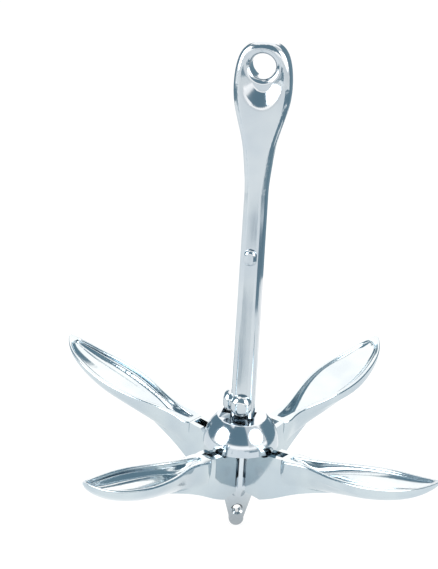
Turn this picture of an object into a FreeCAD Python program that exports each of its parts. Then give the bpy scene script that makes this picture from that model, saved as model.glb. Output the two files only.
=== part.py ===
import FreeCAD, Part

import math
import os

# Four-fluke folding grapnel anchor, standing upright on its tripping-line eye.
# +Z runs up the shank. The rode eye and its hole face along -Y.
# The origin is under the shank, at the level of the lowest point.

V = FreeCAD.Vector
UP = V(0, 0, 1)

# Levels along the shank.
RIM_Z = 61.0              # the collar's lower rim, the datum of everything above and below it
EYE_Z = RIM_Z + 253.3     # centre of the rode eye
TOP_Z = RIM_Z + 268.2     # top of the rode eye
LOW_NUB_Z = RIM_Z + 28.6  # the two nubs that hold the collar down
MID_NUB_Z = RIM_Z + 130.6 # the nub that keeps the collar over the folded flukes
SHANK_Z = RIM_Z + 4.0     # the shank's shoulder, inside the collar

# Shank.
FOOT_HALF = 7.6           # half width at the shoulder
NECK_HALF = 7.1           # half width at the neck
NECK_Z = RIM_Z + 172.0
SHANK_THICK = 12.8
SHANK_ROUND = 4.0
# Half outline of the head: half width, height above the collar's rim.
HEAD = ((8.0, 185.0), (10.5, 204.0), (14.5, 219.0), (16.8, 229.0), (17.7, 238.0),
        (17.4, 247.5), (15.8, 256.4), (13.2, 262.3), (8.8, 266.5))
EYE_R = 7.7               # waist of the rode eye
EYE_FLARE = 3.5           # rounding of the eye's mouth
EYE_BOSS_R = 11.4         # the full-thickness ring round the eye
DISH_Z = RIM_Z + 246.0    # the dished hollow round that ring, on both faces
DISH_DEPTH = 3.7
DISH_R = 20.5             # where the dish runs out into the face, upwards and downwards
DISH_NARROW = 0.7         # its width, as a share of its height
DISH_SLOPE = 21.0         # of its upper and lower sides, degrees
DISH_CREST = 9.0          # rounding at its mouth
DISH_CORNER = 4.0         # rounding round its floor
LOW_NUB = (13.4, 15.0, 5.3)   # width, height, how far it stands proud
MID_NUB = (8.0, 11.0, 3.0)
NUB_ROOT = 2.0            # how deep a nub reaches into the shank
NUB_CORNER = 0.48         # rounding of a nub's outline, as a share of its width
NUB_DOME = 0.95           # rounding of its front, as a share of its height above the shank
TENON_R = 4.6
TENON_LENGTH = 24.0

# Locking collar.
CUP_R = 24.5
CUP_WALL = 3.0
CUP_HEIGHT = 18.6
CUP_ROOF = 3.6
CUP_LIP = 1.4             # rounding of the roof's edge
COLLAR_GAP = 0.6          # between the shank and the collar's square hole
KEYWAY_HALF = 7.3
KEYWAY_REACH = 13.9

# Crown.
CROWN_TWIST = 18.8        # turn of the flukes from the shank's corners, degrees
FLUKE_TURN = 45.0 + CROWN_TWIST
POST_HALF = 8.0
POST_CHAMFER = 2.0
POST_BOTTOM = RIM_Z - 30.0
SKIRT_HALF = 5.0          # half width of the post's tapered foot
SKIRT_BOTTOM = RIM_Z - 38.0
LUG_THICK = 6.0
LUG_R = 8.0
LUG_TOP = RIM_Z - 1.5
LUG_CHIN = -50.0          # where the lug's underside leaves its nose, degrees
STOP_REACH = 10.6         # ledges that the open flukes bear on
STOP_HALF = 6.0
STOP_HEIGHT = 9.0
FOOT_EYE_R = 2.8
FOOT_EYE_SINK = 1.2       # countersink on each side of its hole
FOOT_EYE_Z = 12.8
FOOT_EYE_THICK = 7.0
FOOT_EYE_ROUND = 2.2
FOOT_EYE_TAPER = 12.0     # lean of its sides, degrees
FOOT_EYE_HALF = 10.6      # half width at its shoulders
FOOT_EYE_TOP = RIM_Z - 34.5
FOOT_EYE_NECK = 6.0       # half width where it leaves the post
FOOT_EYE_TIP_R = 4.9
CROWN_PIN_R = 2.0
CROWN_PIN_Z = RIM_Z + 1.6

# Hinges.
PIN_R = 3.5
PIN_GAP = 0.07            # running clearance in the crown's lug
HINGE_R = 21.5            # from the shank's axis to the pin
HINGE_Z = RIM_Z - 11.5
FORK_HALF = 7.0
SLOT_HALF = 3.35
SLOT_END = 36.5
KNUCKLE_R = 10.5

# Flukes: distance from the shank's axis, half width of the rim,
# height of the rim and height of the keel, the heights from the collar's rim.
FLUKE = (
    (38.0, 6.8, 2.7, -23.8),
    (50.0, 7.4, 4.1, -17.7),
    (62.0, 8.3, 5.7, -12.9),
    (76.0, 12.2, 7.7, -8.4),
    (91.0, 15.4, 10.3, -4.1),
    (106.0, 16.6, 13.0, -0.2),
    (121.0, 15.0, 16.1, 4.5),
    (134.0, 11.9, 19.5, 10.3),
    (144.0, 7.6, 23.3, 17.1),
    (150.6, 1.5, 27.0, 24.4),
)
RIM_THICK = 2.8
RIM_ROUND = 1.25          # rounding of both edges of the rim
HOLLOW_START = 41.5       # the hollow of the palm, along the fluke
HOLLOW_EASE = 18.0        # over which it deepens from the root
HOLLOW_END = 146.0
HOLLOW_SHARE = 0.42       # its depth, as a share of the palm's
HOLLOW_SLIM = 0.35        # its width at the root, as a share of the room between the rims
LEAST_HALF = 1.2          # of the hollow's width and depth at its ends
LEAST_DEPTH = 0.6
# The fork in profile: distance from the shank's axis, height from the collar's rim.
FORK_TOP = ((25.7, -0.8), (28.1, 1.6), (40.5, 2.8), (46.0, -4.5), (62.0, -10.5), (80.0, -5.0))
FORK_KEEL = ((80.0, -7.3), (62.0, -13.3), (47.0, -19.7), (34.0, -26.6), (23.0, -31.6))
FORK_FOOT = -30.2         # its inner lower corner
FORK_TAPER = 34.0         # where the fork begins to narrow under the palm
FORK_END_HALF = 1.5


def cylinder(radius, start, end):
    axis = end - start
    return Part.makeCylinder(radius, axis.Length, start, axis)


def box(x0, x1, y0, y1, z0, z1):
    return Part.makeBox(x1 - x0, y1 - y0, z1 - z0, V(x0, y0, z0))


def turned(shape, degrees):
    copy = shape.copy()
    copy.rotate(V(0, 0, 0), UP, degrees)
    return copy


def smooth(points, start=None, end=None):
    """One smooth edge through the points, with the given directions at its ends."""
    curve = Part.BSplineCurve()
    if start is None:
        curve.interpolate(points)
    else:
        curve.interpolate(Points=points, InitialTangent=start, FinalTangent=end)
    return curve.toShape()


def lines(points):
    return [Part.makeLine(a, b) for a, b in zip(points, points[1:])]


def mirrored(points):
    """The half outline and its mirror image across the shank, from right to left."""
    return points + [V(-p.x, p.y, p.z) for p in reversed(points) if p.x > 0]


def nub(size, seat):
    """A domed nub on the -Y face of the shank, rooted in it, centred at height 0."""
    width, height, proud = size
    body = box(-width / 2, width / 2, -seat - proud, -seat + NUB_ROOT, -height / 2, height / 2)
    upright = [e for e in body.Edges if e.BoundBox.YLength > proud]
    body = body.makeFillet(NUB_CORNER * width, upright)
    front = [e for e in body.Edges if e.BoundBox.YMax < -seat - proud + 0.01]
    return body.makeFillet(NUB_DOME * proud, front)


def shank():
    """The bar with the rode eye at its head, nubs on two sides and a tenon below."""
    outline = [V(NECK_HALF, 0, NECK_Z)] + [V(x, 0, RIM_Z + z) for x, z in HEAD] + [V(0, 0, TOP_Z)]
    head = smooth(mirrored(outline), V(0.02, 0, 1), V(0.02, 0, -1))
    foot = lines([V(-NECK_HALF, 0, NECK_Z), V(-FOOT_HALF, 0, SHANK_Z),
                  V(FOOT_HALF, 0, SHANK_Z), V(NECK_HALF, 0, NECK_Z)])
    face = Part.Face(Part.Wire([head] + foot))
    face.translate(V(0, -SHANK_THICK / 2, 0))
    bar = face.extrude(V(0, SHANK_THICK, 0))
    long_edges = [e for e in bar.Edges if e.BoundBox.YLength < 0.01 and e.BoundBox.ZLength > 20]
    bar = bar.makeFillet(SHANK_ROUND, long_edges)
    boss = cylinder(EYE_BOSS_R, V(0, -SHANK_THICK / 2, EYE_Z), V(0, SHANK_THICK / 2, EYE_Z))
    front_dish = dish().cut(boss)
    bar = bar.cut(front_dish).cut(turned(front_dish, 180))
    bar = bar.cut(eye_bore())
    bar = bar.fuse(nub(LOW_NUB, SHANK_THICK / 2).translated(V(0, 0, LOW_NUB_Z)))
    bar = bar.fuse(nub(MID_NUB, SHANK_THICK / 2).translated(V(0, 0, MID_NUB_Z)))
    bar = bar.fuse(turned(nub(LOW_NUB, FOOT_HALF - 0.1), -90).translated(V(0, 0, LOW_NUB_Z)))
    bar = bar.fuse(cylinder(TENON_R, V(0, 0, SHANK_Z - TENON_LENGTH), V(0, 0, SHANK_Z + 1)))
    return bar.cut(crown_pin()).removeSplitter()


def dish():
    """The oval dished hollow of the -Y face, its sloping side rounded at both ends."""
    slope = math.radians(DISH_SLOPE)
    front = -SHANK_THICK / 2
    crest_half = DISH_CREST * math.sin(slope / 2)
    crest = V(DISH_R - DISH_CREST * math.sin(slope), front + DISH_CREST * (1 - math.cos(slope)), 0)
    crest_mid = V(DISH_R - crest_half, front + DISH_CREST * (1 - math.cos(slope / 2)), 0)
    floor = front + DISH_DEPTH
    corner_drop = DISH_CORNER * (1 - math.cos(slope))
    fall = floor - corner_drop - crest.y
    foot = V(crest.x - fall / math.tan(slope), floor - corner_drop, 0)
    flat = V(foot.x - DISH_CORNER * math.sin(slope), floor, 0)
    corner_mid = V(flat.x + DISH_CORNER * math.sin(slope / 2),
                   floor - DISH_CORNER * (1 - math.cos(slope / 2)), 0)
    edges = [Part.Arc(V(DISH_R, front, 0), crest_mid, crest).toShape()]
    edges += lines([crest, foot])
    edges.append(Part.Arc(foot, corner_mid, flat).toShape())
    edges += lines([flat, V(0, floor, 0), V(0, front - 1, 0), V(DISH_R, front - 1, 0), V(DISH_R, front, 0)])
    cutter = Part.Face(Part.Wire(edges)).revolve(V(0, 0, 0), V(0, 1, 0), 360)
    squeeze = FreeCAD.Matrix()
    squeeze.scale(V(DISH_NARROW, 1, 1))
    return cutter.transformGeometry(squeeze).translated(V(0, 0, DISH_Z))


def eye_bore():
    """The rode eye: a round waist with a rounded mouth on each side, turned about Y."""
    half = SHANK_THICK / 2
    waist = half - EYE_FLARE
    mouth = EYE_R + EYE_FLARE
    middle = EYE_FLARE * math.sin(math.radians(45))
    edges = lines([V(0, -half, 0), V(0, half, 0), V(mouth, half, 0)])
    edges.append(Part.Arc(V(mouth, half, 0), V(mouth - middle, waist + middle, 0),
                          V(EYE_R, waist, 0)).toShape())
    edges += lines([V(EYE_R, waist, 0), V(EYE_R, -waist, 0)])
    edges.append(Part.Arc(V(EYE_R, -waist, 0), V(mouth - middle, -waist - middle, 0),
                          V(mouth, -half, 0)).toShape())
    edges += lines([V(mouth, -half, 0), V(0, -half, 0)])
    bore = Part.Face(Part.Wire(edges)).revolve(V(0, 0, 0), V(0, 1, 0), 360)
    return bore.translated(V(0, 0, EYE_Z))


def locking_collar():
    """The sliding cup that locks the flukes open, its hole keyed to pass the nubs."""
    centre = V(0, 0, RIM_Z)
    top = RIM_Z + CUP_HEIGHT
    cup = Part.makeSphere(CUP_R, centre).cut(Part.makeSphere(CUP_R - CUP_WALL, centre))
    roof = cylinder(CUP_R - CUP_WALL, V(0, 0, top - CUP_ROOF), V(0, 0, top))
    cup = cup.fuse(roof.common(Part.makeSphere(CUP_R - 1, centre)))
    cup = cup.common(cylinder(CUP_R + 1, centre, V(0, 0, top)))
    cup = cup.removeSplitter()
    lip = [e for e in cup.Edges if abs(e.BoundBox.ZMin - top) < 0.01]
    cup = cup.makeFillet(CUP_LIP, lip)
    half_x = FOOT_HALF + COLLAR_GAP
    half_y = SHANK_THICK / 2 + COLLAR_GAP
    low, high = RIM_Z - 1, top + 1
    cup = cup.cut(box(-half_x, half_x, -half_y, half_y, low, high))
    cup = cup.cut(box(-KEYWAY_HALF, KEYWAY_HALF, -KEYWAY_REACH, 0, low, high))
    return cup.cut(box(-KEYWAY_REACH, 0, -KEYWAY_HALF, KEYWAY_HALF, low, high))


def post_section(half, chamfer, z):
    a = half
    b = half - chamfer
    points = [V(a, -b, z), V(a, b, z), V(b, a, z), V(-b, a, z), V(-a, b, z), V(-a, -b, z),
              V(-b, -a, z), V(b, -a, z), V(a, -b, z)]
    return Part.makePolygon(points)


def crown_lug():
    """One hinge lug of the crown, pointing along +X, with the ledge its fluke rests on."""
    y = LUG_THICK / 2
    chin = math.radians(LUG_CHIN)
    foot = POST_BOTTOM + 1
    outline = Part.makePolygon([
        V(0, -y, LUG_TOP), V(HINGE_R, -y, HINGE_Z + LUG_R),
        V(HINGE_R + LUG_R * math.cos(chin), -y, HINGE_Z + LUG_R * math.sin(chin)),
        V(POST_HALF, -y, foot), V(0, -y, foot), V(0, -y, LUG_TOP)])
    web = Part.Face(outline).extrude(V(0, LUG_THICK, 0))
    nose = cylinder(LUG_R, V(HINGE_R, -y, HINGE_Z), V(HINGE_R, y, HINGE_Z))
    stop = box(0, STOP_REACH, -STOP_HALF, STOP_HALF, POST_BOTTOM, POST_BOTTOM + STOP_HEIGHT)
    return web.fuse(nose).fuse(stop)


def foot_eye():
    """The flat tripping-line eye under the crown, facing -Y: its plate and its hole."""
    y = FOOT_EYE_THICK / 2
    lean = math.radians(FOOT_EYE_TAPER)
    tip = FOOT_EYE_TIP_R
    edge = V(tip * math.cos(lean), -y, tip + tip * math.sin(lean))
    shoulder = V(FOOT_EYE_HALF, -y, FOOT_EYE_TOP)
    neck = V(FOOT_EYE_NECK, -y, POST_BOTTOM)
    sides = [edge, shoulder, neck]
    others = [V(-p.x, p.y, p.z) for p in reversed(sides)]
    end = Part.Arc(others[-1], V(0, -y, 0), edge).toShape()
    plate = Part.Face(Part.Wire([end] + lines(sides + others))).extrude(V(0, FOOT_EYE_THICK, 0))
    faces = [e for e in plate.Edges if e.BoundBox.YLength < 0.01 and e.BoundBox.ZMax < FOOT_EYE_TOP + 0.01]
    plate = plate.makeFillet(FOOT_EYE_ROUND, faces)
    hole = cylinder(FOOT_EYE_R, V(0, -y - 1, FOOT_EYE_Z), V(0, y + 1, FOOT_EYE_Z))
    for side in (-1, 1):
        sink = Part.makeCone(FOOT_EYE_R, FOOT_EYE_R + FOOT_EYE_SINK, FOOT_EYE_SINK,
                             V(0, side * (y - FOOT_EYE_SINK), FOOT_EYE_Z), V(0, side, 0))
        hole = hole.fuse(sink)
    return plate, hole


def crown():
    """The hub under the shank: a post with four hinge lugs and the tripping-line eye."""
    post = Part.Face(post_section(POST_HALF, POST_CHAMFER, POST_BOTTOM)).extrude(
        V(0, 0, SHANK_Z - POST_BOTTOM))
    skirt = Part.makeLoft([post_section(POST_HALF, POST_CHAMFER, POST_BOTTOM),
                           post_section(SKIRT_HALF, POST_CHAMFER, SKIRT_BOTTOM)], True, True)
    plate, hole = foot_eye()
    body = post.fuse(skirt)
    for k in range(4):
        body = body.fuse(turned(crown_lug(), 90 * k))
    body = body.fuse(turned(plate, -45))
    body = body.cut(turned(hole, -45))
    for k in range(4):
        bore = cylinder(PIN_R + PIN_GAP, V(HINGE_R, -LUG_THICK, HINGE_Z), V(HINGE_R, LUG_THICK, HINGE_Z))
        body = body.cut(turned(bore, 90 * k))
    body = turned(body, FLUKE_TURN)
    socket = cylinder(TENON_R, V(0, 0, SHANK_Z - TENON_LENGTH), V(0, 0, SHANK_Z + 1))
    return body.cut(socket).cut(crown_pin()).removeSplitter()


def crown_pin():
    """The cross pin that keeps the shank's tenon in the crown, hidden by the collar."""
    reach = math.sqrt(2) * (POST_HALF - POST_CHAMFER / 2)
    pin = cylinder(CROWN_PIN_R, V(-reach, 0, CROWN_PIN_Z), V(reach, 0, CROWN_PIN_Z))
    return turned(pin, FLUKE_TURN + 45)


def bowl(x, half, top, bottom):
    """Points of a half ellipse hanging from a level, across the fluke, from +Y to -Y."""
    steps = 8
    angles = [math.pi * k / steps for k in range(steps + 1)]
    return [V(x, half * math.cos(a), top - (top - bottom) * math.sin(a)) for a in angles]


def rounded_bowl(x, half, top, bottom, mouth):
    """A half ellipse across the fluke with a quarter round at each top corner, ending at the mouth."""
    r = abs(mouth - half)
    bend = (mouth - half) * (1 - math.sqrt(0.5))
    drop = r * (1 - math.sqrt(0.5))
    inside = bowl(x, half, top - r, bottom)
    right = Part.Arc(V(x, mouth, top), V(x, half + bend, top - drop), inside[0]).toShape()
    left = Part.Arc(inside[-1], V(x, -half - bend, top - drop), V(x, -mouth, top)).toShape()
    return [right, smooth(inside, V(0, 0, -1), V(0, 0, 1)), left]


def hull_section(x, half, top, bottom):
    """The outside across the fluke, under a flat rim with rounded shoulders."""
    mouth = half - min(RIM_ROUND, half / 2)
    flat = lines([V(x, -mouth, top), V(x, mouth, top)])
    return Part.Wire(rounded_bowl(x, half, top, bottom, mouth) + flat)


def hollow_section(x, half, top, depth):
    """The hollow across the fluke, its mouth rounded into the rim, open well above it."""
    mouth = half + RIM_ROUND
    bottom = top - max(depth, RIM_ROUND + LEAST_DEPTH)
    high = top + RIM_THICK
    above = lines([V(x, -mouth, top), V(x, -mouth, high), V(x, mouth, high), V(x, mouth, top)])
    return Part.Wire(rounded_bowl(x, half, top, bottom, mouth) + above)


def fluke_station(x):
    """Half width, rim height and keel height of the fluke at a distance from the shank."""
    near, far = [pair for pair in zip(FLUKE, FLUKE[1:]) if pair[0][0] <= x <= pair[1][0]][0]
    t = (x - near[0]) / (far[0] - near[0])
    return [a + (b - a) * t for a, b in zip(near[1:], far[1:])]


def fluke_hollow():
    """The cutter of the palm's hollow, from its shallow start at the root to the tip."""
    sections = []
    for x in [HOLLOW_START] + [row[0] for row in FLUKE[1:-1]] + [HOLLOW_END]:
        half, top, bottom = fluke_station(x)
        ease = min(1.0, (x - HOLLOW_START) / HOLLOW_EASE)
        room = (half - RIM_THICK) * (HOLLOW_SLIM + (1 - HOLLOW_SLIM) * ease)
        depth = HOLLOW_SHARE * (top - bottom) * ease
        sections.append(hollow_section(x, max(LEAST_HALF, room), RIM_Z + top, depth))
    return Part.makeLoft(sections, True, False)


def fluke_root():
    """The flat-sided fork at the fluke's root, tapering away under the palm."""
    knuckle = [V(HINGE_R + KNUCKLE_R * math.cos(a), 0, HINGE_Z + KNUCKLE_R * math.sin(a))
               for a in (math.pi, 0.75 * math.pi, 0.5 * math.pi)]
    inner = HINGE_R - KNUCKLE_R
    rise = [V(x, 0, RIM_Z + z) for x, z in FORK_TOP]
    keel = [V(x, 0, RIM_Z + z) for x, z in FORK_KEEL]
    corner = V(inner, 0, RIM_Z + FORK_FOOT)
    edges = lines([corner, V(inner, 0, HINGE_Z)])
    edges.append(Part.Arc(*knuckle).toShape())
    edges += lines([knuckle[-1]] + rise + [keel[0]])
    edges.append(smooth(keel))
    edges += lines([keel[-1], corner])
    side = Part.Face(Part.Wire(edges))
    side.translate(V(0, -FORK_HALF, 0))
    plate = side.extrude(V(0, 2 * FORK_HALF, 0))
    end = rise[-1].x
    plan = [V(0, FORK_HALF, 0), V(FORK_TAPER, FORK_HALF, 0), V(end, FORK_END_HALF, 0)]
    plan += [V(p.x, -p.y, 0) for p in reversed(plan)]
    wedge = Part.Face(Part.makePolygon(plan + plan[:1])).extrude(V(0, 0, TOP_Z))
    return plate.common(wedge)


def fluke():
    """One fluke along +X: a spoon-shaped palm on a forked root, its pin hole bored."""
    hull = Part.makeLoft([hull_section(x, half, RIM_Z + top, RIM_Z + bottom)
                          for x, half, top, bottom in FLUKE], True, False)
    body = hull.fuse(fluke_root()).cut(fluke_hollow())
    body = body.cut(box(0, SLOT_END, -SLOT_HALF, SLOT_HALF, 0, TOP_Z))
    bore = cylinder(PIN_R, V(HINGE_R, -2 * FORK_HALF, HINGE_Z), V(HINGE_R, 2 * FORK_HALF, HINGE_Z))
    return body.cut(bore).removeSplitter()


def hinge_pin():
    """A riveted pin, flush with the fork's outer faces."""
    return cylinder(PIN_R, V(HINGE_R, -FORK_HALF, HINGE_Z), V(HINGE_R, FORK_HALF, HINGE_Z))


def main():
    os.makedirs("parts", exist_ok=True)
    nodes = {
        "shank": shank(),
        "crown": crown(),
        "crown_pin": crown_pin(),
        "locking_collar": locking_collar(),
    }
    one_fluke = fluke()
    one_pin = hinge_pin()
    for k in range(4):
        nodes["fluke_%d" % (k + 1)] = turned(one_fluke, FLUKE_TURN + 90 * k)
        nodes["hinge_pin_%d" % (k + 1)] = turned(one_pin, FLUKE_TURN + 90 * k)
    for name, shape in nodes.items():
        print(name, len(shape.Solids), shape.isValid(), round(shape.Volume))
        shape.exportStep("parts/%s.step" % name)


main()
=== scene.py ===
import math

import bpy
from mathutils import Matrix, Vector


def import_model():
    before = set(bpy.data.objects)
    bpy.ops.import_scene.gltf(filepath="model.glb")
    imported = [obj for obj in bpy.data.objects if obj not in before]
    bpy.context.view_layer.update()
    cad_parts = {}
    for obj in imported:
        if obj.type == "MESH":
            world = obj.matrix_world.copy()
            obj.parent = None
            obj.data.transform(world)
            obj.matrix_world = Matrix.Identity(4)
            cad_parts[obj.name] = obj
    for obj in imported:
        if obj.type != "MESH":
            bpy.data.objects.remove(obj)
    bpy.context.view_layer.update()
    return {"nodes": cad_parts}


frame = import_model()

# Camera: a long lens from the front, a little right of the shank's front face, looking down.
CAM_BEARING = 10.5
CAM_DISTANCE = 1.193
CAM_HEIGHT = 0.6655
CAM_HEADING = 11.45
CAM_DOWN = 22.57
CAM_ROLL = 3.27
CAM_LENS = 130.2

# Studio. Bearings are in degrees right of the camera's side, elevations above the horizon.
ROOM_WHITE = (1.80, 1.66, 1.58)
DARK = (0.20, 0.31, 0.38)
SOFT_EDGE = 3.0
# Dark parts of the room: bearing from and to, elevation from and to, and how dark.
DARKS = ((-46, 26, 10, 82, 1.0), (26, 88, 6, 75, 0.55), (-105, -35, 41, 58, 1.0),
         (-152, -90, -8, 44, 1.0), (92, 162, -8, 42, 1.0))
# Dark cards, standing or lying flat: bearing from and to, distance of the foot and of the
# top, height of the top.
CARDS = ((86, 165, 0.43, 0.43, 0.34), (-152, -97, 0.70, 0.70, 0.58),
         (-152, -45, 0.67, 0.98, 0.002), (12, 165, 0.62, 0.98, 0.002), (26, 86, 0.37, 0.57, 0.002),
         (-21.7, -20.3, 0.52, 0.60, 0.002), (-22.4, -21.2, 0.22, 0.42, 0.002))
CARD_STEPS = 24
CARD_CLEARANCE = 0.001
# Round softboxes: bearing, elevation.
SOFTBOXES = ((-66, 22), (56, 30))
SOFTBOX_DISTANCE = 1.1
SOFTBOX_RADIUS = 0.44
SOFTBOX_WATTS = 9.0
SOFTBOX_AIM = 0.07
FLOOR_SIZE = 12.0
FLOOR_TONE = 0.23
FLOOR_GLOW = 0.79
FLOOR_ROUGHNESS = 0.9

# Steels: colour, roughness from and to, size of the polishing marks along X, Y and Z in
# marks per metre, and their depth in metres.
STEELS = {
    "shank": ((0.53, 0.59, 0.63), 0.08, 0.16, (160, 160, 9), 0.00002),
    "locking_collar": ((0.53, 0.60, 0.65), 0.08, 0.14, (30, 30, 260), 0.00002),
    "crown": ((0.65, 0.72, 0.76), 0.14, 0.26, (140, 140, 60), 0.00003),
    "fluke": ((0.53, 0.61, 0.65), 0.08, 0.16, (60, 60, 60), 0.00003),
    "pin": ((0.50, 0.57, 0.61), 0.12, 0.22, (420, 420, 420), 0.00002),
}
# Painted shade: below this height the steel's colour is darkened towards the ground, to this share of
# its colour, standing in for the shade near the floor.
SHADE_HEIGHT = 0.042
SHADE_SHARE = 0.55
# Tarnish: clouds per metre, and what the darkest and the palest clouds do to the colour.
CLOUDS = (35, 35, 35)
TARNISHED = (0.93, 0.94, 0.96)
CLEAN = (1.05, 1.04, 1.03)


def link(obj):
    bpy.context.scene.collection.objects.link(obj)
    return obj


def direction(bearing, elevation=0.0):
    """The unit vector of a bearing and an elevation."""
    a = math.radians(CAM_BEARING + bearing)
    e = math.radians(elevation)
    return Vector((math.sin(a) * math.cos(e), -math.cos(a) * math.cos(e), math.sin(e)))


def camera():
    data = bpy.data.cameras.new("camera")
    data.sensor_width = 36.0
    data.lens = CAM_LENS
    cam = link(bpy.data.objects.new("camera", data))
    cam.location = direction(0) * CAM_DISTANCE + Vector((0, 0, CAM_HEIGHT))
    turn = Matrix.Rotation(math.radians(CAM_HEADING), 4, "Z")
    pitch = Matrix.Rotation(math.radians(90 - CAM_DOWN), 4, "X")
    roll = Matrix.Rotation(math.radians(CAM_ROLL), 4, "Z")
    cam.rotation_mode = "QUATERNION"
    cam.rotation_quaternion = (turn @ pitch @ roll).to_quaternion()
    bpy.context.scene.camera = cam


class Tree:
    """A node tree with short ways to add nodes and join them."""

    def __init__(self, holder):
        holder.use_nodes = True
        self.tree = holder.node_tree
        self.tree.nodes.clear()

    def put(self, socket, value):
        if isinstance(value, bpy.types.NodeSocket):
            self.tree.links.new(value, socket)
        elif socket.type == "RGBA":
            socket.default_value = (*value, 1)
        else:
            socket.default_value = value

    def node(self, kind, values=(), **settings):
        node = self.tree.nodes.new("ShaderNode" + kind)
        for name, setting in settings.items():
            setattr(node, name, setting)
        for key, value in dict(values).items():
            self.put(node.inputs[key], value)
        return node

    def math(self, operation, *values):
        return self.node("Math", enumerate(values), operation=operation).outputs[0]

    def dot(self, vector, other):
        return self.node("VectorMath", {0: vector, 1: other}, operation="DOT_PRODUCT").outputs["Value"]

    def ramp(self, value, low, high, to_low=0.0, to_high=1.0):
        values = {0: value, 1: low, 2: high, 3: to_low, 4: to_high}
        return self.node("MapRange", values, interpolation_type="SMOOTHSTEP").outputs[0]

    def mix(self, share, first, second):
        return self.node("Mix", {0: share, 6: first, 7: second}, data_type="RGBA").outputs[2]

    def band(self, value, low, high):
        """1 between low and high, falling to 0 over a soft edge."""
        up = self.ramp(value, low - SOFT_EDGE, low + SOFT_EDGE)
        down = self.ramp(value, high - SOFT_EDGE, high + SOFT_EDGE, 1.0, 0.0)
        return self.math("MULTIPLY", up, down)

    def noise(self, point, per_metre, detail):
        stretched = self.node("Mapping", {0: point, 3: per_metre}).outputs[0]
        return self.node("TexNoise", {0: stretched, "Scale": 1.0, "Detail": detail}).outputs[0]


def world():
    """A bright room with dark parts, by direction only. The camera itself sees plain white."""
    room = bpy.data.worlds.new("studio")
    bpy.context.scene.world = room
    t = Tree(room)
    ray = t.node("TexCoord").outputs["Generated"]
    up = t.node("SeparateXYZ", {0: ray}).outputs[2]
    bearing = t.math("ARCTAN2", t.dot(ray, direction(90)), t.dot(ray, direction(0)))
    bearing = t.math("DEGREES", bearing)
    elevation = t.math("DEGREES", t.math("ARCSINE", up))
    dark = 0.0
    for left, right, low, high, share in DARKS:
        part = t.math("MULTIPLY", t.band(bearing, left, right), t.band(elevation, low, high))
        dark = t.math("MAXIMUM", dark, t.math("MULTIPLY", part, share))
    seen = t.node("LightPath").outputs["Is Camera Ray"]
    colour = t.mix(seen, t.mix(dark, ROOM_WHITE, DARK), (1, 1, 1))
    glow = t.node("Background", {0: colour, 1: 1.0})
    t.node("OutputWorld", {0: glow.outputs[0]})


def floor():
    bpy.ops.mesh.primitive_plane_add(size=FLOOR_SIZE)
    obj = bpy.context.object
    obj.name = "floor"
    mat = bpy.data.materials.new("floor")
    t = Tree(mat)
    paper = t.node("BsdfPrincipled", {
        "Base Color": (FLOOR_TONE, FLOOR_TONE, FLOOR_TONE), "Roughness": FLOOR_ROUGHNESS,
        "Specular IOR Level": 0.0, "Emission Color": (1, 1, 1), "Emission Strength": FLOOR_GLOW})
    t.node("OutputMaterial", {0: paper.outputs[0]})
    obj.data.materials.append(mat)


def card(name, left, right, foot, head, top):
    """A curved dark card standing or lying on the floor, seen only in reflections."""
    verts = []
    for k in range(CARD_STEPS + 1):
        way = direction(left + (right - left) * k / CARD_STEPS)
        verts += [way * foot + Vector((0, 0, CARD_CLEARANCE)), way * head + Vector((0, 0, top))]
    faces = [(2 * k, 2 * k + 2, 2 * k + 3, 2 * k + 1) for k in range(CARD_STEPS)]
    mesh = bpy.data.meshes.new(name)
    mesh.from_pydata(verts, [], faces)
    obj = link(bpy.data.objects.new(name, mesh))
    mat = bpy.data.materials.new(name)
    t = Tree(mat)
    t.node("OutputMaterial", {0: t.node("Emission", {0: DARK, 1: 1.0}).outputs[0]})
    mesh.materials.append(mat)
    obj.visible_camera = False
    obj.visible_diffuse = False
    obj.visible_shadow = False


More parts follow.
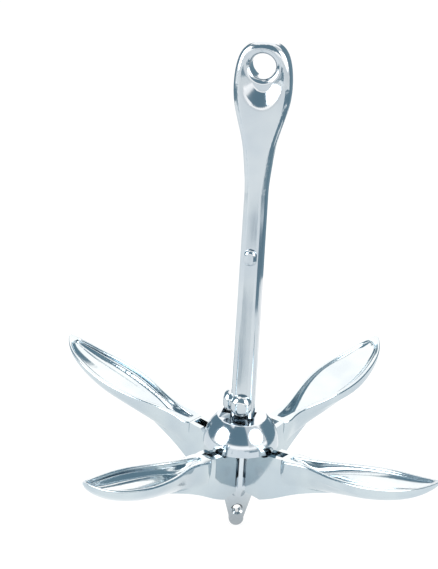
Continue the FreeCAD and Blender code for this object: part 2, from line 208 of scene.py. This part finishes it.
def softbox(name, bearing, elevation):
    data = bpy.data.lights.new(name, "AREA")
    data.shape = "DISK"
    data.size = 2 * SOFTBOX_RADIUS
    data.energy = SOFTBOX_WATTS
    obj = link(bpy.data.objects.new(name, data))
    away = direction(bearing, elevation)
    obj.location = Vector((0, 0, SOFTBOX_AIM)) + away * SOFTBOX_DISTANCE
    obj.rotation_euler = away.to_track_quat("Z", "Y").to_euler()


def steel(name, tint, smoothest, roughest, marks, depth):
    """Mirror-polished stainless steel with faint polishing marks, its colour darkened near the ground
    as painted shade.
    """
    mat = bpy.data.materials.new(name)
    t = Tree(mat)
    point = t.node("TexCoord").outputs["Object"]
    marking = t.noise(point, marks, 4.0)
    cloud = t.noise(point, CLOUDS, 2.0)
    tarnished = tuple(c * f for c, f in zip(tint, TARNISHED))
    clean = tuple(c * f for c, f in zip(tint, CLEAN))
    height = t.node("SeparateXYZ", {0: point}).outputs[2]
    # Painted shade: the colour is darkened towards the ground, for the shaded floor seen in the steel
    # near its foot.
    painted_shade = t.ramp(height, 0.0, SHADE_HEIGHT, SHADE_SHARE, 1.0)
    clouded = t.mix(t.ramp(cloud, 0.35, 0.65), tarnished, clean)
    colour = t.node("VectorMath", {0: clouded, "Scale": painted_shade}, operation="SCALE").outputs[0]
    rough = t.ramp(marking, 0.3, 0.7, smoothest, roughest)
    bump = t.node("Bump", {"Strength": 1.0, "Distance": depth, "Height": marking})
    bsdf = t.node("BsdfPrincipled", {"Base Color": colour, "Metallic": 1.0, "Roughness": rough,
                                     "Normal": bump.outputs[0]})
    t.node("OutputMaterial", {0: bsdf.outputs[0]})
    return mat


camera()
floor()
world()
for number, spot in enumerate(SOFTBOXES):
    softbox("softbox_%d" % (number + 1), *spot)
for number, place in enumerate(CARDS):
    card("card_%d" % (number + 1), *place)
steels = {kind: steel(kind + "_steel", *look) for kind, look in STEELS.items()}
for name, node in frame["nodes"].items():
    kinds = [kind for kind in STEELS if name == kind or name.startswith(kind + "_")]
    node.data.materials.clear()
    node.data.materials.append(steels["pin" if "pin" in name else kinds[0]])
bpy.context.scene.view_settings.view_transform = "Standard"
